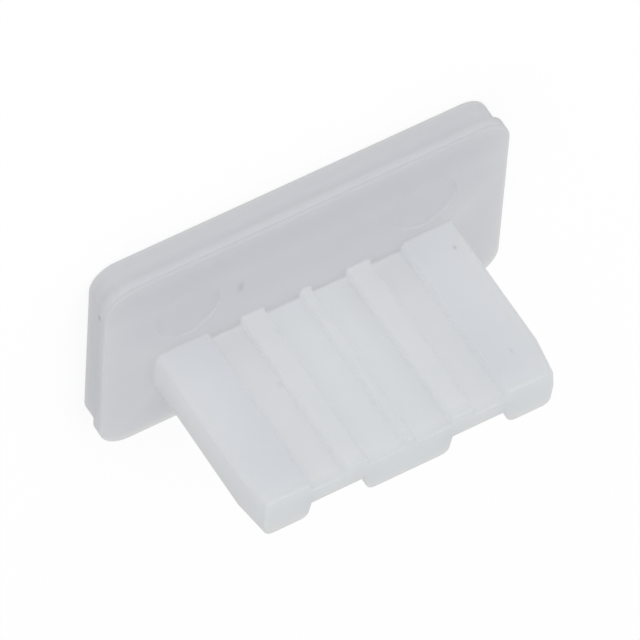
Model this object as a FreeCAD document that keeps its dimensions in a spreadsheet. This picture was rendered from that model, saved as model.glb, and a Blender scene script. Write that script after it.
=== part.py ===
import FreeCAD, Part
import math
import os

import Sketcher
from FreeCAD import Vector

# Dust cover for a USB type A port, moulded in one piece, in millimetres.
# It stands on its outer face at Z = 0. X runs along the cover's width, Y along its height,
# and the plug points along +Z. The origin is the middle of the outer face.

# Driving sizes: alias, value, meaning
SIZES = [
    ("plate_width", 16.04, "outer plate along X"),
    ("plate_height", 8.84, "outer plate along Y"),
    ("plate_thickness", 1.0, "outer plate along Z"),
    ("plate_corner", 1.05, "corner radius of the outer plate"),
    ("lip_overhang", 0.16, "how far the lip stands out past the plate, all round"),
    ("lip_thickness", 0.5, "lip along Z"),
    ("plug_width", 12.2, "plug along X, at its parting line"),
    ("plug_length", 7.25, "plug along Z, from the lip's seat face to its end"),
    ("plug_drop", 0.14, "rib tops below the middle of the cover"),
    ("plug_thickness", 2.1, "from the rib tops to the bottom of the middle foot"),
    ("parting_drop", 0.95, "parting line below the rib tops"),
    ("side_draft", 0.09, "how far each side leans in above and below the parting line"),
    ("lead_length", 1.5, "length of the lead-in, where the plug's sides close in towards its end"),
    ("lead_inset", 0.22, "how far each side closes in at the end"),
    ("centre_rib", 0.4, "width of the middle rib"),
    ("inner_groove", 1.5, "width of the grooves beside the middle rib"),
    ("side_rib", 0.9, "width of the ribs between inner and outer grooves"),
    ("outer_groove", 1.35, "width of the outer grooves"),
    ("groove_depth", 0.44, "grooves below the rib tops"),
    ("groove_draft", 4.0, "lean of the groove walls, in degrees"),
    ("centre_foot", 3.56, "width of the middle foot at the recess ceiling"),
    ("recess_width", 2.15, "width of each underside recess at its ceiling"),
    ("recess_depth", 0.87, "recess ceiling above the bottom of the middle foot"),
    ("recess_draft", 9.0, "lean of the recess walls, in degrees"),
    ("foot_rise", 0.1, "outer feet end this far above the middle foot"),
    ("pin_mark_diameter", 2.55, "ejector pin marks on the seat face"),
    ("pin_mark_spacing", 9.6, "distance between the two pin marks"),
    ("pin_mark_height", 1.66, "pin marks above the middle of the cover"),
    ("pin_mark_depth", 0.08, "depth of the pin marks"),
    ("outer_round", 0.12, "round along the rim of the outer face"),
    ("lip_round", 0.08, "round along the lip's front rim"),
    ("edge_round", 0.14, "round along the outside edges of the plug's top"),
    ("side_round", 0.3, "round along the outside edges of the outer feet"),
    ("rib_round", 0.12, "round along the ribs' edges beside the grooves"),
    ("foot_round", 0.25, "round along the feet's edges beside the recesses"),
    ("end_round", 0.06, "round around the plug's end"),
    ("root_round", 0.1, "fillet where the plug rises from the seat face"),
]

# Cutting profiles run past the material by this much.
CUT_CLEARANCE = 0.5
TOLERANCE = 1e-4

# Places that several features share, as expressions on the sheet
SEAT_HEIGHT = "Sizes.plate_thickness + Sizes.lip_thickness"
PLUG_END = f"{SEAT_HEIGHT} + Sizes.plug_length"
RIB_LEVEL = "-Sizes.plug_drop"
FOOT_LEVEL = "-Sizes.plug_drop - Sizes.plug_thickness"

doc = FreeCAD.newDocument("DustCover")
sheet = doc.addObject("Spreadsheet::Sheet", "Sizes")
for row, (alias, value, meaning) in enumerate(SIZES, start=1):
    sheet.set(f"A{row}", meaning)
    sheet.set(f"B{row}", str(value))
    sheet.setAlias(f"B{row}", alias)
doc.recompute()

body = doc.addObject("PartDesign::Body", "DustCoverBody")
body.Label = "dust_cover"


def number(expression):
    """Value that an expression on the sheet has now."""
    result = body.evalExpression(expression)
    return float(getattr(result, "Value", result))


def origin_plane(role):
    """One of the body's own origin planes."""
    for feature in body.Origin.OriginFeatures:
        if feature.Role == role:
            return feature
    raise RuntimeError(f"the body has no {role}")


def new_sketch(name, height="0"):
    """Empty sketch across the plug's axis, at a height above the outer face."""
    sketch = body.newObject("Sketcher::SketchObject", name)
    sketch.AttachmentSupport = [(origin_plane("XY_Plane"), "")]
    sketch.MapMode = "FlatFace"
    sketch.setExpression("AttachmentOffset.Base.z", height)
    return sketch


def dimension(sketch, name, kind, places, expression):
    """Add a driving dimension that takes its value from the sheet.

    places are pairs of a geometry's number and its point's number, or one geometry alone."""
    index = sketch.addConstraint(Sketcher.Constraint(kind, *places, number(expression)))
    sketch.renameConstraint(index, name)
    sketch.setExpression(f"Constraints.{name}", expression)


def draw_polygon(sketch, corners):
    """Closed chain of lines. Line i starts at corner i. Returns the first line's number."""
    first = sketch.GeometryCount
    count = len(corners)
    for i in range(count):
        start = Vector(*corners[i], 0)
        end = Vector(*corners[(i + 1) % count], 0)
        sketch.addGeometry(Part.LineSegment(start, end), False)
    for i in range(count):
        following = first + (i + 1) % count
        sketch.addConstraint(Sketcher.Constraint("Coincident", first + i, 2, following, 1))
    return first


def round_corner(sketch, corner, count, name, radius):
    """Round one corner of a polygon of count lines and drive the radius from the sheet."""
    lines = ((corner - 1) % count, corner)
    middles = [(sketch.Geometry[i].StartPoint + sketch.Geometry[i].EndPoint) / 2 for i in lines]
    arc = sketch.GeometryCount
    trim_lines = True
    keep_corner_point = True
    sketch.fillet(*lines, *middles, number(radius), trim_lines, keep_corner_point)
    dimension(sketch, name, "Radius", (arc,), radius)


def draw_rounded_rectangle(sketch, width, height, radius):
    """Rectangle with four equal rounded corners, centred on the sketch's origin."""
    x = number(width) / 2
    y = number(height) / 2
    r = number(radius)
    sides = [
        ((-x + r, -y), (x - r, -y)),
        ((x, -y + r), (x, y - r)),
        ((x - r, y), (-x + r, y)),
        ((-x, y - r), (-x, -y + r)),
    ]
    for start, end in sides:
        sketch.addGeometry(Part.LineSegment(Vector(*start, 0), Vector(*end, 0)), False)
    centres = [(x - r, -y + r), (x - r, y - r), (-x + r, y - r), (-x + r, -y + r)]
    quarter = math.pi / 2
    for i, centre in enumerate(centres):
        circle = Part.Circle(Vector(*centre, 0), Vector(0, 0, 1), r)
        sketch.addGeometry(Part.ArcOfCircle(circle, (i - 1) * quarter, i * quarter), False)
    for i in range(4):
        sketch.addConstraint(Sketcher.Constraint("Tangent", i, 2, 4 + i, 1))
        sketch.addConstraint(Sketcher.Constraint("Tangent", 4 + i, 2, (i + 1) % 4, 1))
    for i in range(3):
        sketch.addConstraint(Sketcher.Constraint("Equal", 4, 5 + i))
    sketch.addConstraint(Sketcher.Constraint("Horizontal", 0))
    sketch.addConstraint(Sketcher.Constraint("Vertical", 1))
    sketch.addConstraint(Sketcher.Constraint("Symmetric", 0, 1, 2, 1, -1, 1))
    dimension(sketch, "width", "DistanceX", (3, 1, 1, 1), width)
    dimension(sketch, "height", "DistanceY", (0, 1, 2, 2), height)
    dimension(sketch, "corner", "Radius", (4,), radius)


def draw_channel(sketch, name, inner_edge, floor_level, width, reach, draft):
    """Trapezium of a channel right of the middle, with walls that lean apart away from its floor.

    reach is the signed height from the floor to where the profile leaves the material."""
    lean = f"abs({reach}) * tan({draft} * 1deg)"
    x0 = number(inner_edge)
    x1 = x0 + number(width)
    y0 = number(floor_level)
    y1 = y0 + number(reach)
    out = number(lean)
    first = draw_polygon(sketch, [(x0, y0), (x1, y0), (x1 + out, y1), (x0 - out, y1)])
    sketch.addConstraint(Sketcher.Constraint("Horizontal", first))
    sketch.addConstraint(Sketcher.Constraint("Horizontal", first + 2))
    dimension(sketch, f"{name}_edge", "DistanceX", (-1, 1, first, 1), inner_edge)
    dimension(sketch, f"{name}_floor", "DistanceY", (-1, 1, first, 1), floor_level)
    dimension(sketch, f"{name}_width", "DistanceX", (first, 1, first, 2), width)
    dimension(sketch, f"{name}_reach", "DistanceY", (first + 1, 1, first + 1, 2), reach)
    dimension(sketch, f"{name}_lean_out", "DistanceX", (first + 1, 1, first + 1, 2), lean)
    dimension(sketch, f"{name}_lean_in", "DistanceX", (first + 3, 1, first + 3, 2), lean)


def add_pad(name, sketch, length):
    """Pad a sketch along its normal."""
    pad = body.newObject("PartDesign::Pad", name)
    pad.Profile = sketch
    pad.setExpression("Length", length)
    doc.recompute()


def add_ruled_loft(name, sections):
    """Straight-sided loft through several sketches."""
    doc.recompute()
    loft = body.newObject("PartDesign::AdditiveLoft", name)
    loft.Profile = sections[0]
    loft.Sections = sections[1:]
    loft.Ruled = True
    doc.recompute()


def add_pocket(name, sketch, length, towards_end=False):
    """Pocket a sketch and make sure that it takes material away."""
    doc.recompute()
    before = body.Shape.Volume
    pocket = body.newObject("PartDesign::Pocket", name)
    pocket.Profile = sketch
    pocket.setExpression("Length", length)
    pocket.Reversed = towards_end
    doc.recompute()
    if body.Shape.Volume > before - TOLERANCE:
        raise RuntimeError(f"{name} cuts nothing")
    return pocket


def add_fillet(name, radius, chosen):
    """Round the edges of the body that the test chooses."""
    base = body.Tip
    names = [f"Edge{i}" for i, edge in enumerate(base.Shape.Edges, start=1) if chosen(edge)]
    if not names:
        raise RuntimeError(f"{name} finds no edge")
    fillet = body.newObject("PartDesign::Fillet", name)
    fillet.Base = (base, names)
    fillet.setExpression("Radius", radius)
    doc.recompute()


def is_near(a, b):
    """Whether two lengths are the same."""
    return abs(a - b) < TOLERANCE


def runs_along_plug(edge):
    """Whether an edge is straight and parallel to the plug."""
    ends = [vertex.Point for vertex in edge.Vertexes]
    if len(ends) != 2:
        return False
    return is_near(ends[0].x, ends[1].x) and is_near(ends[0].y, ends[1].y)


def lies_at_height(edge, height):
    """Whether an edge lies in one plane across Z."""
    box = edge.BoundBox
    return is_near(box.ZMin, height) and is_near(box.ZMax, height)


def lies_on_rim(edge, height, half_width, half_height):
    """Whether an edge at one height is part of a rounded rectangle's outline."""
    box = edge.BoundBox
    reaches_side = is_near(max(abs(box.XMin), abs(box.XMax)), half_width)
    reaches_end = is_near(max(abs(box.YMin), abs(box.YMax)), half_height)
    return lies_at_height(edge, height) and (reaches_side or reaches_end)


# Outer plate
plate_sketch = new_sketch("PlateOutline")
draw_rounded_rectangle(plate_sketch, "Sizes.plate_width", "Sizes.plate_height", "Sizes.plate_corner")
add_pad("Plate", plate_sketch, "Sizes.plate_thickness")

# Lip, a slightly larger step behind the plate
LIP_WIDTH = "Sizes.plate_width + 2 * Sizes.lip_overhang"
LIP_HEIGHT = "Sizes.plate_height + 2 * Sizes.lip_overhang"
lip_sketch = new_sketch("LipOutline", height="Sizes.plate_thickness")
draw_rounded_rectangle(lip_sketch, LIP_WIDTH, LIP_HEIGHT, "Sizes.plate_corner + Sizes.lip_overhang")
add_pad("Lip", lip_sketch, "Sizes.lip_thickness")

# Plug. Its section is widest at the parting line, and its outer feet end above the middle foot.
# From the lead-in's start the sides close in towards the end.
PLUG_HALF = "Sizes.plug_width / 2"
DRAFTED_HALF = f"{PLUG_HALF} - Sizes.side_draft"
PARTING_LEVEL = f"{RIB_LEVEL} - Sizes.parting_drop"
OUTER_FOOT_LEVEL = f"{FOOT_LEVEL} + Sizes.foot_rise"
RECESS_EDGE = "Sizes.centre_foot / 2"
RECESS_MIDDLE = f"{RECESS_EDGE} + Sizes.recess_width / 2"


def draw_plug_section(sketch, inset):
    """Outline of the plug before it is grooved, with its sides moved in and its outside edges rounded."""
    right_half = [
        (f"{DRAFTED_HALF} - {inset}", RIB_LEVEL),
        (f"{PLUG_HALF} - {inset}", PARTING_LEVEL),
        (f"{DRAFTED_HALF} - {inset}", OUTER_FOOT_LEVEL),
        (RECESS_MIDDLE, OUTER_FOOT_LEVEL),
        (RECESS_MIDDLE, FOOT_LEVEL),
    ]
    right_corners = [(number(x), number(y)) for x, y in right_half]
    left_corners = [(-x, y) for x, y in reversed(right_corners)]
    corners = right_corners + left_corners
    last = len(corners) - 1
    draw_polygon(sketch, corners)
    for i, (x, y) in enumerate(right_half):
        sketch.addConstraint(Sketcher.Constraint("Symmetric", i, 1, last - i, 1, -2))
        dimension(sketch, f"half_width_{i}", "DistanceX", (-1, 1, i, 1), x)
        dimension(sketch, f"level_{i}", "DistanceY", (-1, 1, i, 1), y)
    top, foot = 0, 2
    for corner in (top, last - top):
        round_corner(sketch, corner, len(corners), f"edge_round_{corner}", "Sizes.edge_round")
    for corner in (foot, last - foot):
        round_corner(sketch, corner, len(corners), f"side_round_{corner}", "Sizes.side_round")


plug_sections = []
for name, height, inset in (
    ("PlugRoot", SEAT_HEIGHT, "0"),
    ("PlugLeadIn", f"{PLUG_END} - Sizes.lead_length", "0"),
    ("PlugEnd", PLUG_END, "Sizes.lead_inset"),
):
    section = new_sketch(name, height=height)
    draw_plug_section(section, inset)
    plug_sections.append(section)
add_ruled_loft("Plug", plug_sections)

# Grooves along the top, which clear the port's contacts: the right-hand pair
GROOVE_FLOOR = f"{RIB_LEVEL} - Sizes.groove_depth"
GROOVE_REACH = f"Sizes.groove_depth + {CUT_CLEARANCE}"
GROOVE_LEAN = "Sizes.groove_depth * tan(Sizes.groove_draft * 1deg)"
INNER_GROOVE_EDGE = "Sizes.centre_rib / 2"
OUTER_GROOVE_EDGE = f"{INNER_GROOVE_EDGE} + Sizes.inner_groove + Sizes.side_rib"
groove_sketch = new_sketch("GrooveProfiles", height=SEAT_HEIGHT)
for name, edge in (("inner", INNER_GROOVE_EDGE), ("outer", OUTER_GROOVE_EDGE)):
    floor_edge = f"{edge} + {GROOVE_LEAN}"
    floor_width = f"Sizes.{name}_groove - 2 * {GROOVE_LEAN}"
    draw_channel(groove_sketch, name, floor_edge, GROOVE_FLOOR, floor_width, GROOVE_REACH,
                 "Sizes.groove_draft")
grooves = add_pocket("Grooves", groove_sketch, "Sizes.plug_length", towards_end=True)

# Recess between the middle foot and the right-hand foot
RECESS_CEILING = f"{FOOT_LEVEL} + Sizes.recess_depth"
RECESS_REACH = f"-Sizes.recess_depth - {CUT_CLEARANCE}"
RECESS_LEAN = "Sizes.recess_depth * tan(Sizes.recess_draft * 1deg)"
recess_sketch = new_sketch("RecessProfile", height=SEAT_HEIGHT)
draw_channel(recess_sketch, "recess", RECESS_EDGE, RECESS_CEILING, "Sizes.recess_width", RECESS_REACH,
             "Sizes.recess_draft")
recess = add_pocket("Recess", recess_sketch, "Sizes.plug_length", towards_end=True)

# Ejector pin mark on the right of the seat face
PIN_X = "Sizes.pin_mark_spacing / 2"
PIN_RADIUS = "Sizes.pin_mark_diameter / 2"
pin_sketch = new_sketch("PinMark", height=SEAT_HEIGHT)
pin_centre = Vector(number(PIN_X), number("Sizes.pin_mark_height"), 0)
pin_sketch.addGeometry(Part.Circle(pin_centre, Vector(0, 0, 1), number(PIN_RADIUS)), False)
dimension(pin_sketch, "radius", "Radius", (0,), PIN_RADIUS)
dimension(pin_sketch, "across", "DistanceX", (-1, 1, 0, 3), PIN_X)
dimension(pin_sketch, "up", "DistanceY", (-1, 1, 0, 3), "Sizes.pin_mark_height")
pin_mark = add_pocket("PinMarkPocket", pin_sketch, "Sizes.pin_mark_depth")

# The left half of the cuts
left_cuts = body.newObject("PartDesign::Mirrored", "LeftCuts")
left_cuts.Originals = [grooves, recess, pin_mark]
left_cuts.MirrorPlane = (origin_plane("YZ_Plane"), [""])
body.Tip = left_cuts
doc.recompute()

# Rounded edges
rib_level = number(RIB_LEVEL)
foot_levels = (number(FOOT_LEVEL), number(OUTER_FOOT_LEVEL))
grooved_half = number(f"{OUTER_GROOVE_EDGE} + Sizes.outer_groove")
recessed_half = number(f"{RECESS_EDGE} + Sizes.recess_width + {RECESS_LEAN}")
plate_half = (number("Sizes.plate_width / 2"), number("Sizes.plate_height / 2"))
lip_half = (number(LIP_WIDTH) / 2, number(LIP_HEIGHT) / 2)
seat_height = number(SEAT_HEIGHT)
plug_end = number(PLUG_END)


def is_rib_edge(edge):
    """Long edge of a rib's top, beside a groove."""
    middle = edge.CenterOfMass
    within = abs(middle.x) < grooved_half + TOLERANCE
    return within and runs_along_plug(edge) and is_near(middle.y, rib_level)


def is_foot_edge(edge):
    """Long edge of a foot's bottom, beside a recess."""
    middle = edge.CenterOfMass
    within = abs(middle.x) < recessed_half + TOLERANCE
    return within and runs_along_plug(edge) and any(is_near(middle.y, level) for level in foot_levels)


def is_root_edge(edge):
    """Edge where the plug rises from the seat face, below the pin marks."""
    on_seat = lies_at_height(edge, seat_height) and not lies_on_rim(edge, seat_height, *lip_half)
    return on_seat and edge.BoundBox.YMax < rib_level + TOLERANCE


add_fillet("RibRounds", "Sizes.rib_round", is_rib_edge)
add_fillet("FootRounds", "Sizes.foot_round", is_foot_edge)
add_fillet("EndRound", "Sizes.end_round", lambda edge: lies_at_height(edge, plug_end))
add_fillet("RootRound", "Sizes.root_round", is_root_edge)
add_fillet("OuterRound", "Sizes.outer_round", lambda edge: lies_on_rim(edge, 0, *plate_half))
add_fillet("LipRound", "Sizes.lip_round", lambda edge: lies_on_rim(edge, seat_height, *lip_half))

# Every object has to be sound before anything is written.
doc.recompute()
for item in doc.Objects:
    if "Invalid" in item.State or "Error" in item.State:
        raise RuntimeError(f"{item.Name} failed: {item.State}")
cover = body.Shape
if cover.isNull() or not cover.isValid() or len(cover.Solids) != 1:
    raise RuntimeError("the dust cover isn't one sound solid")

os.makedirs("parts", exist_ok=True)
cover.exportStep(f"parts/{body.Label}.step")
print(f"{body.Label}: volume {cover.Volume:.2f} mm3, box {cover.BoundBox}")
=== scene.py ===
import math
from types import SimpleNamespace

import bmesh
import bpy
from mathutils import Matrix, Vector


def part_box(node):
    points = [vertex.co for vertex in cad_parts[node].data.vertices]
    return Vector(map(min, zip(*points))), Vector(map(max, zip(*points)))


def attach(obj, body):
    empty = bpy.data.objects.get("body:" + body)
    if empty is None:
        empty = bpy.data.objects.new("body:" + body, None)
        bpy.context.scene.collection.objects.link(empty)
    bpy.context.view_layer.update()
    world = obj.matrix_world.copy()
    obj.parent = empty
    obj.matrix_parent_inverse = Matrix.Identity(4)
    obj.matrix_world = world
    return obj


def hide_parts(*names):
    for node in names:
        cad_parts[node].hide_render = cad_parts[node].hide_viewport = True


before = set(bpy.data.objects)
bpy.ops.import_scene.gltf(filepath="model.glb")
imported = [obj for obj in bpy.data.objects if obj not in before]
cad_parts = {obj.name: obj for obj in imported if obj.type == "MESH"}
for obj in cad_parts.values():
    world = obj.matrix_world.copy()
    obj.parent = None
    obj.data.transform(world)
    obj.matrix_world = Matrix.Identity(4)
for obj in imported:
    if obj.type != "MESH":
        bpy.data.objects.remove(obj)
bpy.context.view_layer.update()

bl_info = {
    "name": "Port dust cover",
    "version": (1, 0, 0),
    "blender": (4, 5, 0),
    "location": "View3D > Sidebar > Dust Cover",
    "description": "Builds a moulded dust cover for a port, its natural plastic and a white stage",
    "category": "Object",
}

COVER_NODE = "dust_cover"
COVER_BODY = "root"
COVER_PIECE = "moulded_cover"
PLASTIC_SLOT = "natural_plastic"

MM = 0.001

# How far the cover reaches from its middle and from its outer face, in millimetres.
HALF_WIDTH, HALF_HEIGHT, PLUG_END = (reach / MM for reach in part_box(COVER_NODE)[1])

# Faces along a corner of the flange, along a small round, and round a pin mark.
CORNER_STEPS = 16
ROUND_STEPS = 6
PIN_STEPS = 72

# The flat ring beside a round is this many times as wide as the round.
RING_ROUNDS = 2

# An edge is sharp past this angle, and points are level within this many millimetres.
SMOOTH_ANGLE = math.radians(40)
TOLERANCE = 0.001

# Where the flange's colour and its painted shade and light change, in millimetres: up from the
# outer face, down from the seat face, up from the cover's middle, and out from the plug.
RIM_START = 0.6
RIM_END = 0.14
SEAT_START = 0.10
TOP_START = 2.6
PAINTED_LIGHT_REACH = 2.2

# Where the plug's colour and its painted shade change, in millimetres: up from the seat face, back
# from the plug's end, out from its middle, and down from its top.
ROOT_START = 0.10
ROOT_END = 1.8
TIP_LENGTH = 0.4
LAND_START = 3.7
LAND_END = 3.95
LAND_DEPTH = 0.3

# Share of the painted land shade that the plug's sides have.
SIDE_SHARE = 0.45

# Size of the surface's features in millimetres, and the detail of their noise.
GRAIN = (0.12, 2.0)
WAVES = (1.8, 1.0)
CLOUDS = (1.2, 3.0)

# Height of the grain as a share of the waves' height.
GRAIN_SHARE = 0.3

# Dark specks in the plastic: place and half size in millimetres, and strength.
SPECKS = (
    ((-8.18, 3.22, 1.04), (0.20, 0.28, 0.28), 1.0),
    ((-2.69, 1.78, 1.50), (0.22, 0.46, 0.22), 0.3),
    ((-2.69, -0.58, 4.36), (0.18, 0.18, 0.25), 0.14),
    ((5.48, -0.14, 2.57), (0.12, 0.12, 0.16), 0.4),
    ((4.94, -0.14, 7.30), (0.10, 0.10, 0.22), 0.2),
)

# Stage, in metres: half the floor's side and its height, the lamp's width and place, and the
# nearest distance that the camera sees.
FLOOR_REACH = 1.0
FLOOR_LEVEL = -0.02 * MM
LAMP_WIDTH = 0.25
LAMP_PLACE = (-0.02, 0.2, 0.15)
NEAR_LIMIT = 0.01


def length(name, millimetres, description):
    """Length property in metres, with its default in millimetres."""
    return bpy.props.FloatProperty(
        name=name,
        description=description,
        default=millimetres * MM,
        min=0.0,
        precision=5,
        unit="LENGTH",
    )


def colour(name, default, description):
    """Linear colour property."""
    return bpy.props.FloatVectorProperty(
        name=name,
        description=description,
        default=default,
        min=0.0,
        max=1.0,
        size=3,
        subtype="COLOR",
    )


def angle(name, degrees, description):
    """Angle property, with its default in degrees."""
    return bpy.props.FloatProperty(
        name=name,
        description=description,
        default=math.radians(degrees),
        subtype="ANGLE",
    )


def number(name, default, description):
    """Plain number that isn't negative."""
    return bpy.props.FloatProperty(
        name=name,
        description=description,
        default=default,
        min=0.0,
    )


class CoverSizes(bpy.types.PropertyGroup):
    """Sizes of the moulded cover. Its outline and the plug's end come from the frame."""

    plate_thickness: length("Plate thickness", 1.0, "Outer plate along the plug's axis")
    plate_corner: length("Plate corner", 1.05, "Corner radius of the outer plate")
    lip_overhang: length("Lip overhang", 0.16, "How far the lip stands out past the plate")
    lip_thickness: length("Lip thickness", 0.5, "Lip along the plug's axis")
    plug_width: length("Plug width", 12.2, "Plug across its parting line")
    plug_drop: length("Plug drop", 0.14, "Rib tops below the middle of the cover")
    plug_thickness: length("Plug thickness", 2.1, "From the rib tops to the middle foot's bottom")
    parting_drop: length("Parting drop", 0.95, "Parting line below the rib tops")
    side_draft: length("Side draft", 0.09, "How far each side leans in from the parting line")
    lead_length: length("Lead-in length", 1.5, "Where the plug's sides close in towards its end")
    lead_inset: length("Lead-in inset", 0.22, "How far each side closes in at the end")
    centre_rib: length("Centre rib", 0.4, "Width of the middle rib")
    inner_groove: length("Inner groove", 1.5, "Width of the grooves beside the middle rib")
    side_rib: length("Side rib", 0.9, "Width of the ribs between inner and outer grooves")
    outer_groove: length("Outer groove", 1.35, "Width of the outer grooves")
    groove_depth: length("Groove depth", 0.44, "Groove floors below the rib tops")
    groove_lean: length("Groove lean", 0.03, "How far each groove wall leans over its depth")
    centre_foot: length("Centre foot", 3.56, "Width of the middle foot at the recess ceiling")
    recess_width: length("Recess width", 2.15, "Width of each underside recess at its ceiling")
    recess_depth: length("Recess depth", 0.87, "Recess ceiling above the middle foot's bottom")
    recess_lean: length("Recess lean", 0.14, "How far each recess wall leans over its depth")
    foot_rise: length("Foot rise", 0.1, "Outer feet end this far above the middle foot")
    pin_diameter: length("Pin mark diameter", 2.55, "Ejector pin marks on the seat face")
    pin_spacing: length("Pin mark spacing", 9.6, "Distance between the two pin marks")
    pin_height: length("Pin mark height", 1.66, "Pin marks above the middle of the cover")
    pin_depth: length("Pin mark depth", 0.08, "Depth of the pin marks")
    outer_round: length("Outer round", 0.12, "Round along the rim of the outer face")
    lip_round: length("Lip round", 0.08, "Round along the lip's front rim")
    edge_round: length("Edge round", 0.14, "Round along the outside edges of the plug's top")
    side_round: length("Side round", 0.3, "Round along the outside edges of the outer feet")
    rib_round: length("Rib round", 0.12, "Round along the ribs' edges beside the grooves")
    foot_round: length("Foot round", 0.25, "Round along the feet's edges beside the recesses")
    end_round: length("End round", 0.06, "Round around the plug's end")
    root_round: length("Root round", 0.1, "Fillet where the plug rises from the seat face")
    pin_round: length("Pin mark round", 0.075, "Round along the rims of the pin marks")


class PlasticFinish(bpy.types.PropertyGroup):
    """Colours and surface of the natural plastic, with painted shade and light in its colours."""

    # Painted shade on the flange: it is one plastic with the plug, so its greyer tones and the
    # darker edge along the outer face stand in for less light in the thin flange.
    edge_painted_shade: colour("Edge colour", (0.455, 0.465, 0.51), "Flange along its outer face")
    rim_colour: colour("Rim colour", (0.555, 0.567, 0.61), "Flange along its rim")
    seat_colour: colour("Seat colour", (0.565, 0.572, 0.61), "Seat face of the flange")
    # Painted shade: the seat face darker along its upper edge.
    top_painted_shade: colour("Top colour", (0.485, 0.495, 0.53), "Seat face along its upper edge")
    # Painted light: the seat face lighter round the plug's root, over its contact shadow.
    root_painted_light: colour("Glow colour", (0.655, 0.655, 0.68), "Seat face round the plug's root")
    # Painted light and shade along the plug: whiter than the flange for its thicker plastic, a
    # little greyer at its root, and greyer before its end, which sticks out into more light.
    root_colour: colour("Root colour", (0.812, 0.843, 0.874), "Plug at its root")
    plug_colour: colour("Plug colour", (0.832, 0.870, 0.91), "Plug past its root")
    end_painted_shade: colour("End colour", (0.722, 0.760, 0.80), "Plug before its end")
    # Painted shade: the plug's end face darker.
    tip_painted_shade: colour("Tip colour", (0.605, 0.655, 0.68), "End face of the plug")
    # Painted shade: the plug's top outside the grooves, and less so its sides, darker than the
    # groove floors.
    land_painted_shade: colour("Land tint", (0.895, 0.895, 0.915), "Plug's top outside its grooves")
    cloud_colour: colour("Cloud colour", (0.70, 0.72, 0.75), "Faint clouds in the plastic")
    clouds: number("Clouds", 0.08, "How strongly the clouds show")
    speck_colour: colour("Speck colour", (0.30, 0.31, 0.33), "Dark specks in the plastic")
    roughness_low: number("Lowest roughness", 0.45, "Roughness where the surface is smoothest")
    roughness_high: number("Highest roughness", 0.75, "Roughness where the surface is dullest")
    shine: number("Shine", 0.35, "Strength of the surface's reflections")
    depth: length("Light depth", 6.0, "How far light spreads inside the plastic")
    grain: length("Grain height", 0.004, "Height of the moulded grain and waves")


class StageSettings(bpy.types.PropertyGroup):
    """Camera, light and floor."""

    azimuth: angle("Azimuth", 201.16, "Direction of the camera round the cover")
    elevation: angle("Elevation", 28.06, "Height of the camera above the floor")
    roll: angle("Roll", -144.84, "Turn of the camera about its own axis")
    distance: length("Distance", 356.75, "From the camera to the point it looks at")
    aim: bpy.props.FloatVectorProperty(
        name="Aim",
        description="Point in the middle of the picture",
        default=(0.18 * MM, -1.25 * MM, 2.31 * MM),
        size=3,
        subtype="XYZ",
        unit="LENGTH",
    )
    lens: number("Lens", 571.8, "Focal length in millimetres")
    sky: number("Sky", 0.655, "Strength of the white sky")
    key: number("Key", 0.18, "Power of the large soft lamp in watts")
    floor_grey: number("Floor grey", 0.2, "Share of light that the floor returns, with the shadow")
    floor_white: number("Floor white", 0.84, "White that the floor shows besides")


def in_millimetres(sizes):
    """Lengths of a property group as plain numbers in millimetres."""
    return SimpleNamespace(**{name: getattr(sizes, name) / MM for name in sizes.__annotations__})


def seat_level(size):
    """Height of the seat face above the outer face."""
    return size.plate_thickness + size.lip_thickness


def add_rounds(bm, geom, radius, affect, steps):
    """Round the given corners or edges."""
    bmesh.ops.bevel(
        bm, geom=geom, offset=radius, offset_type="OFFSET", affect=affect,
        segments=steps, profile=0.5, material=-1)


def outline_face(bm, corners, level, steps):
    """Flat face through corners, each given as x, y and radius, at one level along the plug."""
    others = set(bm.faces)
    verts = [bm.verts.new((x, y, level)) for x, y, _ in corners]
    bm.faces.new(verts)
    for radius in sorted({corner[2] for corner in corners if corner[2] > 0.0}):
        rounded = [vert for vert, corner in zip(verts, corners) if corner[2] == radius]
        add_rounds(bm, rounded, radius, "VERTICES", steps)
    return next(face for face in bm.faces if face not in others)


def inset_face(bm, face, width):
    """Ring inside a face's rim. Returns the face inside the ring."""
    bmesh.ops.inset_region(
        bm, faces=[face], thickness=width, use_boundary=True, use_even_offset=True)
    return face


def extrude_face(bm, face, rise, keep=False):
    """Pull a face along the plug's axis. Returns the face at the far end."""
    made = bmesh.ops.extrude_face_region(bm, geom=[face])["geom"]
    far = next(item for item in made if isinstance(item, bmesh.types.BMFace))
    bmesh.ops.translate(bm, verts=far.verts, vec=(0.0, 0.0, rise))
    if not keep:
        bmesh.ops.delete(bm, geom=[face], context="FACES_ONLY")
    return far


def round_sharp_edges(bm, level, radius):
    """Round the edges at one level along the plug where two faces meet at an angle."""
    bmesh.ops.recalc_face_normals(bm, faces=bm.faces)
    sharp = []
    for edge in bm.edges:
        flat = all(abs(vert.co.z - level) < TOLERANCE for vert in edge.verts)
        if flat and edge.is_manifold and edge.calc_face_angle() > SMOOTH_ANGLE:
            sharp.append(edge)
    add_rounds(bm, sharp, radius, "EDGES", ROUND_STEPS)


def grow_outline(corners, distance):
    """Outline moved outwards by a distance. Its rounded corners keep their centres."""
    moved = []
    for index, (x, y, radius) in enumerate(corners):
        place = Vector((x, y))
        before = place - Vector(corners[index - 1][:2])
        after = Vector(corners[(index + 1) % len(corners)][:2]) - place
        sides = [Vector((-step.y, step.x)).normalized() for step in (before, after)]
        place += distance * (sides[0] + sides[1]) / (1.0 + sides[0].dot(sides[1]))
        moved.append((place.x, place.y, radius + distance if radius > 0.0 else 0.0))
    return moved


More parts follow.
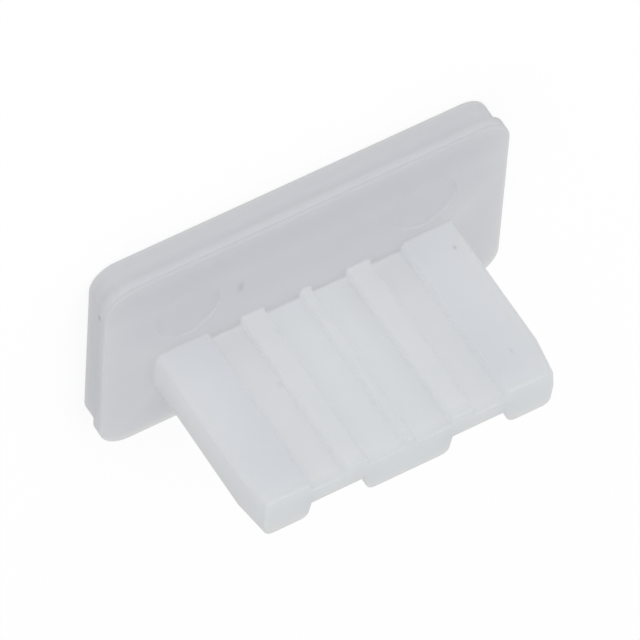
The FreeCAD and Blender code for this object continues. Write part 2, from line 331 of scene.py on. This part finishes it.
def plug_outline(size):
    """Corners of the plug's section, clockwise from the middle rib: x, y and radius."""
    top = -size.plug_drop
    floor = top - size.groove_depth
    foot = top - size.plug_thickness
    outer_foot = foot + size.foot_rise
    ceiling = foot + size.recess_depth
    side = size.plug_width / 2
    drafted = side - size.side_draft
    inner_start = size.centre_rib / 2
    inner_end = inner_start + size.inner_groove
    outer_start = inner_end + size.side_rib
    outer_end = outer_start + size.outer_groove
    recess_start = size.centre_foot / 2
    recess_end = recess_start + size.recess_width
    right = []
    for start, end in ((inner_start, inner_end), (outer_start, outer_end)):
        right += [
            (start, top, size.rib_round),
            (start + size.groove_lean, floor, 0.0),
            (end - size.groove_lean, floor, 0.0),
            (end, top, size.rib_round),
        ]
    right += [
        (drafted, top, size.edge_round),
        (side, top - size.parting_drop, 0.0),
        (drafted, outer_foot, size.side_round),
        (recess_end + size.recess_lean, outer_foot, size.foot_round),
        (recess_end, ceiling, 0.0),
        (recess_start, ceiling, 0.0),
        (recess_start - size.recess_lean, foot, size.foot_round),
    ]
    left = [(-x, y, radius) for x, y, radius in reversed(right)]
    return right + left


def add_plug(bm, size, seat):
    """Ribbed plug with a fillet at its root, open where it meets the seat face."""
    ring = RING_ROUNDS * size.root_round
    root = outline_face(bm, grow_outline(plug_outline(size), ring), seat, ROUND_STEPS)
    root = inset_face(bm, root, ring)
    lead_start = PLUG_END - size.lead_length
    middle = extrude_face(bm, root, lead_start - seat)
    end = extrude_face(bm, middle, size.lead_length)
    # The round below each side closes in with it, so the limit is two rounds further in.
    limit = size.plug_width / 2 - size.side_draft - 2 * size.side_round
    for sign in (-1, 1):
        side = [vert for vert in end.verts if sign * vert.co.x > limit]
        bmesh.ops.translate(bm, verts=side, vec=(-sign * size.lead_inset, 0.0, 0.0))
    round_sharp_edges(bm, PLUG_END, size.end_round)
    round_sharp_edges(bm, seat, size.root_round)


def add_flange(bm, size, seat):
    """Plate with its stepped lip, open inside the rim of the seat face."""
    x = HALF_WIDTH
    y = HALF_HEIGHT
    corner = size.plate_corner + size.lip_overhang
    corners = [(-x, y, corner), (x, y, corner), (x, -y, corner), (-x, -y, corner)]
    front = outline_face(bm, corners, seat, CORNER_STEPS)
    step = extrude_face(bm, front, -size.lip_thickness, keep=True)
    step = inset_face(bm, step, size.lip_overhang)
    extrude_face(bm, step, -size.plate_thickness)
    inset_face(bm, front, RING_ROUNDS * size.lip_round)
    round_sharp_edges(bm, 0.0, size.outer_round)
    round_sharp_edges(bm, seat, size.lip_round)
    bmesh.ops.delete(bm, geom=[front], context="FACES_ONLY")


def add_pin_mark(bm, size, seat, side):
    """Shallow round mark of an ejector pin, open round its rim on the seat face."""
    ring = RING_ROUNDS * size.pin_round
    place = Matrix.Translation((side * size.pin_spacing / 2, size.pin_height, seat))
    made = bmesh.ops.create_circle(
        bm, cap_ends=True, segments=PIN_STEPS, radius=size.pin_diameter / 2 + ring, matrix=place)
    mark = inset_face(bm, made["verts"][0].link_faces[0], ring)
    extrude_face(bm, mark, -size.pin_depth)
    round_sharp_edges(bm, seat, size.pin_round)


def cover_mesh(sizes):
    """One closed mesh of the whole moulding."""
    size = in_millimetres(sizes)
    seat = seat_level(size)
    bm = bmesh.new()
    add_plug(bm, size, seat)
    add_flange(bm, size, seat)
    for side in (-1, 1):
        add_pin_mark(bm, size, seat, side)
    # The seat face fills what the plug, the lip and the pin marks leave open.
    open_edges = [edge for edge in bm.edges if edge.is_boundary]
    bmesh.ops.triangle_fill(bm, edges=open_edges, use_beauty=True, normal=(0.0, 0.0, 1.0))
    bmesh.ops.recalc_face_normals(bm, faces=bm.faces)
    bmesh.ops.scale(bm, verts=bm.verts, vec=(MM, MM, MM))
    for face in bm.faces:
        face.smooth = True
    mesh = bpy.data.meshes.new(COVER_PIECE)
    bm.to_mesh(mesh)
    bm.free()
    mesh.set_sharp_from_angle(angle=SMOOTH_ANGLE)
    return mesh


def map_range(tree, value, source, result=(0.0, 1.0), curve="LINEAR"):
    """Map a value from one range to another. Returns its output."""
    node = tree.nodes.new("ShaderNodeMapRange")
    node.interpolation_type = curve
    for name, limit in zip(("From Min", "From Max", "To Min", "To Max"), (*source, *result)):
        node.inputs[name].default_value = limit
    tree.links.new(value, node.inputs["Value"])
    return node.outputs["Result"]


def add_maths(tree, operation, first, second=0.0):
    """Maths on an output and another output or a plain number. Returns its output."""
    node = tree.nodes.new("ShaderNodeMath")
    node.operation = operation
    tree.links.new(first, node.inputs[0])
    if isinstance(second, float):
        node.inputs[1].default_value = second
    else:
        tree.links.new(second, node.inputs[1])
    return node.outputs["Value"]


def mix_colours(tree, share, first, second, blend="MIX"):
    """Blend of a colour output with another output or a plain colour. Returns its output."""
    mix = tree.nodes.new("ShaderNodeMix")
    mix.data_type = "RGBA"
    mix.blend_type = blend
    factor, a, b = (next(item for item in mix.inputs if item.identifier == name)
                    for name in ("Factor_Float", "A_Color", "B_Color"))
    tree.links.new(share, factor)
    tree.links.new(first, a)
    if isinstance(second, bpy.types.NodeSocket):
        tree.links.new(second, b)
    else:
        b.default_value = (*second, 1.0)
    return next(item for item in mix.outputs if item.identifier == "Result_Color")


def node_group(name, inputs, outputs):
    """Shader node group with named sockets. Returns it with its input and output nodes."""
    tree = bpy.data.node_groups.new(name, "ShaderNodeTree")
    for direction, sockets in (("INPUT", inputs), ("OUTPUT", outputs)):
        for socket, kind in sockets.items():
            tree.interface.new_socket(socket, in_out=direction, socket_type=kind)
    return tree, tree.nodes.new("NodeGroupInput"), tree.nodes.new("NodeGroupOutput")


def add_group(tree, group, place):
    """Node that uses a group at a place."""
    node = tree.nodes.new("ShaderNodeGroup")
    node.node_tree = group
    tree.links.new(place, node.inputs["Vector"])
    return node


def add_noise(tree, place, feature, detail):
    """Noise with features of about a given size in millimetres. Returns its output."""
    noise = tree.nodes.new("ShaderNodeTexNoise")
    noise.inputs["Scale"].default_value = 1.0 / (feature * MM)
    noise.inputs["Detail"].default_value = detail
    tree.links.new(place, noise.inputs["Vector"])
    return noise.outputs["Fac"]


def moulded_surface_group():
    """Fine moulded grain over broad shallow waves, and clouds in the plastic."""
    tree, start, end = node_group(
        "Moulded surface",
        {"Vector": "NodeSocketVector"},
        {"Height": "NodeSocketFloat", "Cloud": "NodeSocketFloat"},
    )
    place = start.outputs["Vector"]
    height = tree.nodes.new("ShaderNodeMath")
    height.operation = "MULTIPLY_ADD"
    height.inputs[1].default_value = GRAIN_SHARE
    tree.links.new(add_noise(tree, place, *GRAIN), height.inputs[0])
    tree.links.new(add_noise(tree, place, *WAVES), height.inputs[2])
    tree.links.new(height.outputs["Value"], end.inputs["Height"])
    tree.links.new(add_noise(tree, place, *CLOUDS), end.inputs["Cloud"])
    return tree


def speck_group():
    """Soft speck: full at its centre, fading out at its half size along each axis."""
    tree, start, end = node_group(
        "Speck",
        {"Vector": "NodeSocketVector", "Centre": "NodeSocketVector", "Size": "NodeSocketVector"},
        {"Mask": "NodeSocketFloat"},
    )
    away = start.outputs["Vector"]
    for operation, other in (("SUBTRACT", "Centre"), ("DIVIDE", "Size")):
        step = tree.nodes.new("ShaderNodeVectorMath")
        step.operation = operation
        tree.links.new(away, step.inputs[0])
        tree.links.new(start.outputs[other], step.inputs[1])
        away = step.outputs["Vector"]
    reach = tree.nodes.new("ShaderNodeVectorMath")
    reach.operation = "LENGTH"
    tree.links.new(away, reach.inputs[0])
    fade = map_range(tree, reach.outputs["Value"], (0.0, 1.0), (1.0, 0.0), "SMOOTHSTEP")
    tree.links.new(fade, end.inputs["Mask"])
    return tree


def colour_along_plug(tree, height, stops):
    """Colours at heights in millimetres above the outer face. Returns the ramp's output."""
    ramp = tree.nodes.new("ShaderNodeValToRGB")
    tree.links.new(map_range(tree, height, (0.0, PLUG_END * MM)), ramp.inputs["Fac"])
    elements = ramp.color_ramp.elements
    while len(elements) < len(stops):
        elements.new(1.0)
    for element, (level, shade) in zip(elements, stops):
        element.position = level / PLUG_END
        element.color = (*shade, 1.0)
    return ramp.outputs["Color"]


def painted_light_mask(tree, axes, size):
    """Mask of the painted light on the seat face: full at the plug's sides, falling off away from
    them. Returns its output.
    """
    half_width = size.plug_width / 2
    half_thickness = size.plug_thickness / 2
    middle = -size.plug_drop - half_thickness
    beside = add_maths(tree, "ABSOLUTE", axes["X"])
    beside = add_maths(tree, "SUBTRACT", beside, half_width * MM)
    above = add_maths(tree, "ABSOLUTE", add_maths(tree, "SUBTRACT", axes["Y"], middle * MM))
    above = add_maths(tree, "SUBTRACT", above, half_thickness * MM)
    away = add_maths(tree, "MAXIMUM", beside, above)
    near = map_range(tree, away, (0.0, PAINTED_LIGHT_REACH * MM), (1.0, 0.0))
    return add_maths(tree, "MULTIPLY", near, near)


def flange_colour(tree, axes, finish, size):
    """Flange colour with painted shade and light: greyer than the plug, darker along its outer
    face and upper edge, lighter round the plug.
    """
    rim_end = seat_level(size) - RIM_END
    seat_start = seat_level(size) - SEAT_START
    # Painted shade: the flange's tones darken towards its outer face.
    shade = colour_along_plug(tree, axes["Z"], (
        (0.0, finish.edge_painted_shade),
        (RIM_START, finish.rim_colour),
        (rim_end, finish.rim_colour),
        (seat_start, finish.seat_colour),
    ))
    front = map_range(tree, axes["Z"], (rim_end * MM, seat_start * MM))
    # Painted light over the contact shadow round the plug's root.
    painted_light = add_maths(tree, "MULTIPLY", front, painted_light_mask(tree, axes, size))
    shade = mix_colours(tree, painted_light, shade, finish.root_painted_light)
    # Painted shade along the upper edge of the seat face.
    upper = map_range(tree, axes["Y"], (TOP_START * MM, HALF_HEIGHT * MM))
    upper = add_maths(tree, "MULTIPLY", front, upper)
    return mix_colours(tree, upper, shade, finish.top_painted_shade)


def plug_colour(tree, axes, finish, size):
    """Whiter plug, with painted light and shade: greyer at its root, towards its end and on its
    end face, and on its top outside the grooves.
    """
    seat = seat_level(size)
    tip_start = PLUG_END - TIP_LENGTH
    # Painted shade along the plug: greyer at its root and before its end.
    shade = colour_along_plug(tree, axes["Z"], (
        (seat + ROOT_START, finish.root_colour),
        (seat + ROOT_END, finish.plug_colour),
        (tip_start, finish.end_painted_shade),
    ))
    # Painted shade on the plug's top outside the grooves and on its sides.
    outside = add_maths(tree, "ABSOLUTE", axes["X"])
    outside = map_range(tree, outside, (LAND_START * MM, LAND_END * MM))
    top = ((-size.plug_drop - LAND_DEPTH) * MM, -size.plug_drop * MM)
    top = map_range(tree, axes["Y"], top, (SIDE_SHARE, 1.0))
    land = add_maths(tree, "MULTIPLY", outside, top)
    shade = mix_colours(tree, land, shade, finish.land_painted_shade, "MULTIPLY")
    # Painted shade on the plug's end face.
    tip = map_range(tree, axes["Z"], (tip_start * MM, PLUG_END * MM))
    return mix_colours(tree, tip, shade, finish.tip_painted_shade)


def add_specks(tree, place, shade, finish):
    """Dark specks over a colour output. Returns the new output."""
    group = speck_group()
    for centre, half_size, strength in SPECKS:
        speck = add_group(tree, group, place)
        speck.inputs["Centre"].default_value = [value * MM for value in centre]
        speck.inputs["Size"].default_value = [value * MM for value in half_size]
        dark = add_maths(tree, "MULTIPLY", speck.outputs["Mask"], strength)
        shade = mix_colours(tree, dark, shade, finish.speck_colour)
    return shade


def plastic_material(finish, size):
    """Natural translucent plastic with clouds, specks and a matte grain, and painted shade and
    light: greyer in the flange than in the plug.
    """
    material = bpy.data.materials.new(PLASTIC_SLOT)
    material.use_nodes = True
    tree = material.node_tree
    shader = tree.nodes["Principled BSDF"]
    shader.inputs["Specular IOR Level"].default_value = finish.shine
    shader.inputs["Subsurface Weight"].default_value = 1.0
    shader.inputs["Subsurface Radius"].default_value = (1.0, 1.0, 1.0)
    shader.inputs["Subsurface Scale"].default_value = finish.depth
    place = tree.nodes.new("ShaderNodeTexCoord").outputs["Object"]
    surface = add_group(tree, moulded_surface_group(), place)
    split = tree.nodes.new("ShaderNodeSeparateXYZ")
    tree.links.new(place, split.inputs["Vector"])
    axes = split.outputs
    flange = flange_colour(tree, axes, finish, size)
    plug = plug_colour(tree, axes, finish, size)
    seat = seat_level(size)
    # The flange's painted shade gives way to the whiter plug at its root.
    rise = map_range(tree, axes["Z"], (seat * MM, (seat + ROOT_START) * MM))
    shade = mix_colours(tree, rise, flange, plug)
    cloud = map_range(tree, surface.outputs["Cloud"], (0.0, 1.0), (0.0, finish.clouds))
    shade = mix_colours(tree, cloud, shade, finish.cloud_colour)
    shade = add_specks(tree, place, shade, finish)
    tree.links.new(shade, shader.inputs["Base Color"])
    matte = (finish.roughness_low, finish.roughness_high)
    matte = map_range(tree, surface.outputs["Cloud"], (0.0, 1.0), matte)
    tree.links.new(matte, shader.inputs["Roughness"])
    bump = tree.nodes.new("ShaderNodeBump")
    bump.inputs["Strength"].default_value = 1.0
    bump.inputs["Distance"].default_value = finish.grain
    tree.links.new(surface.outputs["Height"], bump.inputs["Height"])
    tree.links.new(bump.outputs["Normal"], shader.inputs["Normal"])
    return material


def seen_rays(tree):
    """One for the camera's rays and for reflected or transmitted ones, else zero."""
    rays = tree.nodes.new("ShaderNodeLightPath").outputs
    seen = add_maths(tree, "MAXIMUM", rays["Is Camera Ray"], rays["Is Glossy Ray"])
    return add_maths(tree, "MAXIMUM", seen, rays["Is Transmission Ray"])


def floor_material(stage):
    """Grey that keeps a faint shadow, with the white that is seen added to it."""
    material = bpy.data.materials.new("white_floor")
    material.use_nodes = True
    tree = material.node_tree
    tree.nodes.clear()
    grey = tree.nodes.new("ShaderNodeBsdfDiffuse")
    grey.inputs["Color"].default_value = (*[stage.floor_grey] * 3, 1.0)
    white = tree.nodes.new("ShaderNodeEmission")
    strength = add_maths(tree, "MULTIPLY", seen_rays(tree), stage.floor_white)
    tree.links.new(strength, white.inputs["Strength"])
    both = tree.nodes.new("ShaderNodeAddShader")
    tree.links.new(grey.outputs["BSDF"], both.inputs[0])
    tree.links.new(white.outputs["Emission"], both.inputs[1])
    output = tree.nodes.new("ShaderNodeOutputMaterial")
    tree.links.new(both.outputs["Shader"], output.inputs["Surface"])
    return material


def add_floor(context, stage):
    """White floor just below the cover."""
    bm = bmesh.new()
    bmesh.ops.create_grid(bm, x_segments=1, y_segments=1, size=FLOOR_REACH)
    bmesh.ops.translate(bm, verts=bm.verts, vec=(0.0, 0.0, FLOOR_LEVEL))
    mesh = bpy.data.meshes.new("floor")
    bm.to_mesh(mesh)
    bm.free()
    mesh.materials.append(floor_material(stage))
    floor = bpy.data.objects.new("floor", mesh)
    context.scene.collection.objects.link(floor)
    # The sky shines through the floor on the cover, because contact would darken the thin flange.
    floor.visible_diffuse = False
    floor.visible_shadow = False


def add_light(context, stage):
    """White sky and one large soft lamp."""
    world = bpy.data.worlds.new("white_sky")
    world.use_nodes = True
    tree = world.node_tree
    light = tree.nodes["Background"]
    light.inputs["Color"].default_value = (1.0, 1.0, 1.0, 1.0)
    strength = map_range(tree, seen_rays(tree), (0.0, 1.0), (stage.sky, 1.0))
    tree.links.new(strength, light.inputs["Strength"])
    context.scene.world = world
    lamp = bpy.data.lights.new("key_lamp", "AREA")
    lamp.shape = "DISK"
    lamp.size = LAMP_WIDTH
    lamp.energy = stage.key
    key = bpy.data.objects.new("key_lamp", lamp)
    context.scene.collection.objects.link(key)
    key.location = LAMP_PLACE
    key.rotation_euler = (-key.location).to_track_quat("-Z", "Y").to_euler()


def add_camera(context, stage):
    """Camera at the photograph's viewing angle."""
    lens = bpy.data.cameras.new("camera")
    lens.lens = stage.lens
    lens.clip_start = NEAR_LIMIT
    camera = bpy.data.objects.new("camera", lens)
    context.scene.collection.objects.link(camera)
    back = Vector((
        math.sin(stage.azimuth) * math.cos(stage.elevation),
        -math.cos(stage.azimuth) * math.cos(stage.elevation),
        math.sin(stage.elevation),
    ))
    camera.location = Vector(stage.aim) + back * stage.distance
    level = back.to_track_quat("Z", "Y")
    camera.rotation_mode = "QUATERNION"
    camera.rotation_quaternion = level @ Matrix.Rotation(-stage.roll, 3, "Z").to_quaternion()
    context.scene.camera = camera


class DUSTCOVER_OT_build_cover(bpy.types.Operator):
    """Build the moulded cover in place of the plain solid"""

    bl_idname = "dust_cover.build_cover"
    bl_label = "Build cover"

    def execute(self, context):
        sizes = context.scene.cover_sizes
        cover = bpy.data.objects.new(COVER_PIECE, cover_mesh(sizes))
        context.scene.collection.objects.link(cover)
        material = plastic_material(context.scene.plastic_finish, in_millimetres(sizes))
        cover.data.materials.append(material)
        flats = cover.modifiers.new("Flat faces", "WEIGHTED_NORMAL")
        flats.keep_sharp = True
        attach(cover, COVER_BODY)
        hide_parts(COVER_NODE)
        return {"FINISHED"}


class DUSTCOVER_OT_set_stage(bpy.types.Operator):
    """Make the white floor, the soft light and the camera"""

    bl_idname = "dust_cover.set_stage"
    bl_label = "Set stage"

    def execute(self, context):
        stage = context.scene.stage_settings
        add_floor(context, stage)
        add_light(context, stage)
        add_camera(context, stage)
        context.scene.view_settings.view_transform = "Standard"
        return {"FINISHED"}


class DUSTCOVER_PT_panel(bpy.types.Panel):
    """Sizes, finish and stage of the dust cover"""

    bl_idname = "DUSTCOVER_PT_panel"
    bl_label = "Dust cover"
    bl_space_type = "VIEW_3D"
    bl_region_type = "UI"
    bl_category = "Dust Cover"

    def draw(self, context):
        layout = self.layout
        layout.operator(DUSTCOVER_OT_build_cover.bl_idname)
        layout.operator(DUSTCOVER_OT_set_stage.bl_idname)
        scene = context.scene
        for group in (scene.cover_sizes, scene.plastic_finish, scene.stage_settings):
            box = layout.box()
            for name in group.__annotations__:
                box.prop(group, name)


CLASSES = (
    CoverSizes,
    PlasticFinish,
    StageSettings,
    DUSTCOVER_OT_build_cover,
    DUSTCOVER_OT_set_stage,
    DUSTCOVER_PT_panel,
)


def register():
    for item in CLASSES:
        bpy.utils.register_class(item)
    bpy.types.Scene.cover_sizes = bpy.props.PointerProperty(type=CoverSizes)
    bpy.types.Scene.plastic_finish = bpy.props.PointerProperty(type=PlasticFinish)
    bpy.types.Scene.stage_settings = bpy.props.PointerProperty(type=StageSettings)


def unregister():
    del bpy.types.Scene.stage_settings
    del bpy.types.Scene.plastic_finish
    del bpy.types.Scene.cover_sizes
    for item in reversed(CLASSES):
        bpy.utils.unregister_class(item)


def main():
    register()
    bpy.ops.dust_cover.build_cover()
    bpy.ops.dust_cover.set_stage()


if __name__ == "__main__":
    main()
